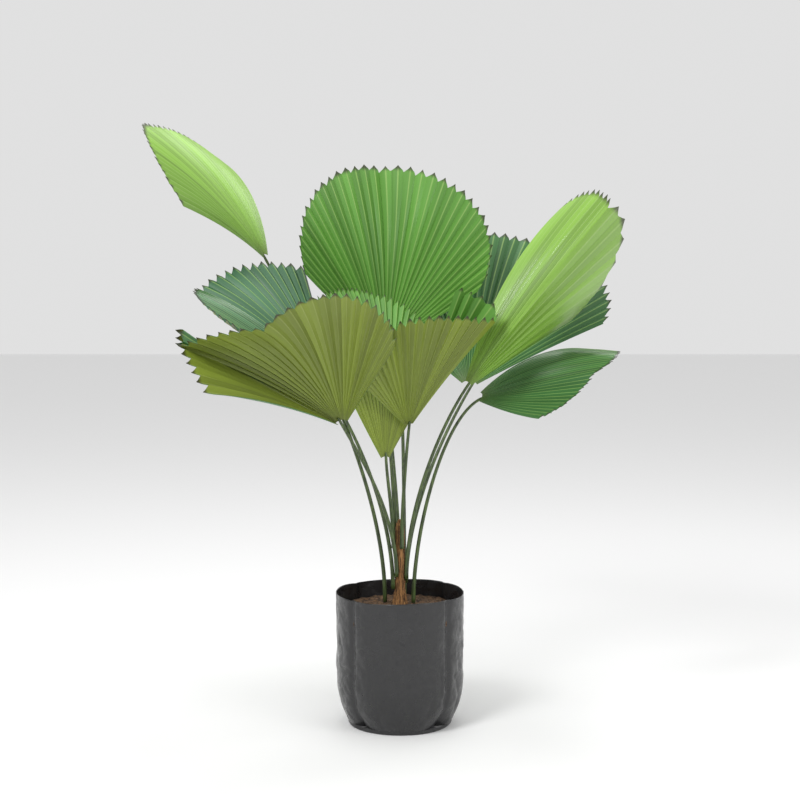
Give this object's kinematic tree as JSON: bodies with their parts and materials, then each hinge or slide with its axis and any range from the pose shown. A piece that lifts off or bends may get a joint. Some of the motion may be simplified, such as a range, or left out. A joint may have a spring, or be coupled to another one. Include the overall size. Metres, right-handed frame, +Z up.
{
  "type": "potted ruffled fan palm",
  "caption": "Young ruffled fan palm with round pleated toothed fronds on slender petioles, growing from a black flexible nursery grow bag.",
  "frame": {"origin": "middle of the grow bag's flat underside, at floor level", "axes": "+Z up, +X to the right of the picture's view, -Y towards the front"},
  "size_m": [0.9294, 0.9749, 1.166],
  "materials": {
    "bag_film": "satin black flexible polythene film with fine crinkles",
    "potting_mix": "rough matte brown fibrous potting mix",
    "stem_fibre": "matte orange-brown leaf-base fibre",
    "petiole": "satin dark olive-green",
    "leaf": "satin green pleated leaf blade"
  },
  "bodies": {
    "root": {"grow_bag": "bag_film", "potting_mix": "potting_mix", "stem": "stem_fibre", "petiole_high_left": "petiole", "petiole_mid_left": "petiole", "petiole_front_left": "petiole", "petiole_front_centre": "petiole", "petiole_inner": "petiole", "petiole_low_inner": "petiole", "petiole_centre": "petiole", "petiole_high_right": "petiole", "petiole_back_right": "petiole", "petiole_low_right": "petiole", "petiole_back": "petiole", "frond_high_left": "leaf", "frond_mid_left": "leaf", "frond_front_left": "leaf", "frond_front_centre": "leaf", "frond_inner": "leaf", "frond_low_inner": "leaf", "frond_centre": "leaf", "frond_high_right": "leaf", "frond_back_right": "leaf", "frond_low_right": "leaf", "frond_back": "leaf"}
  },
  "joints": []
}
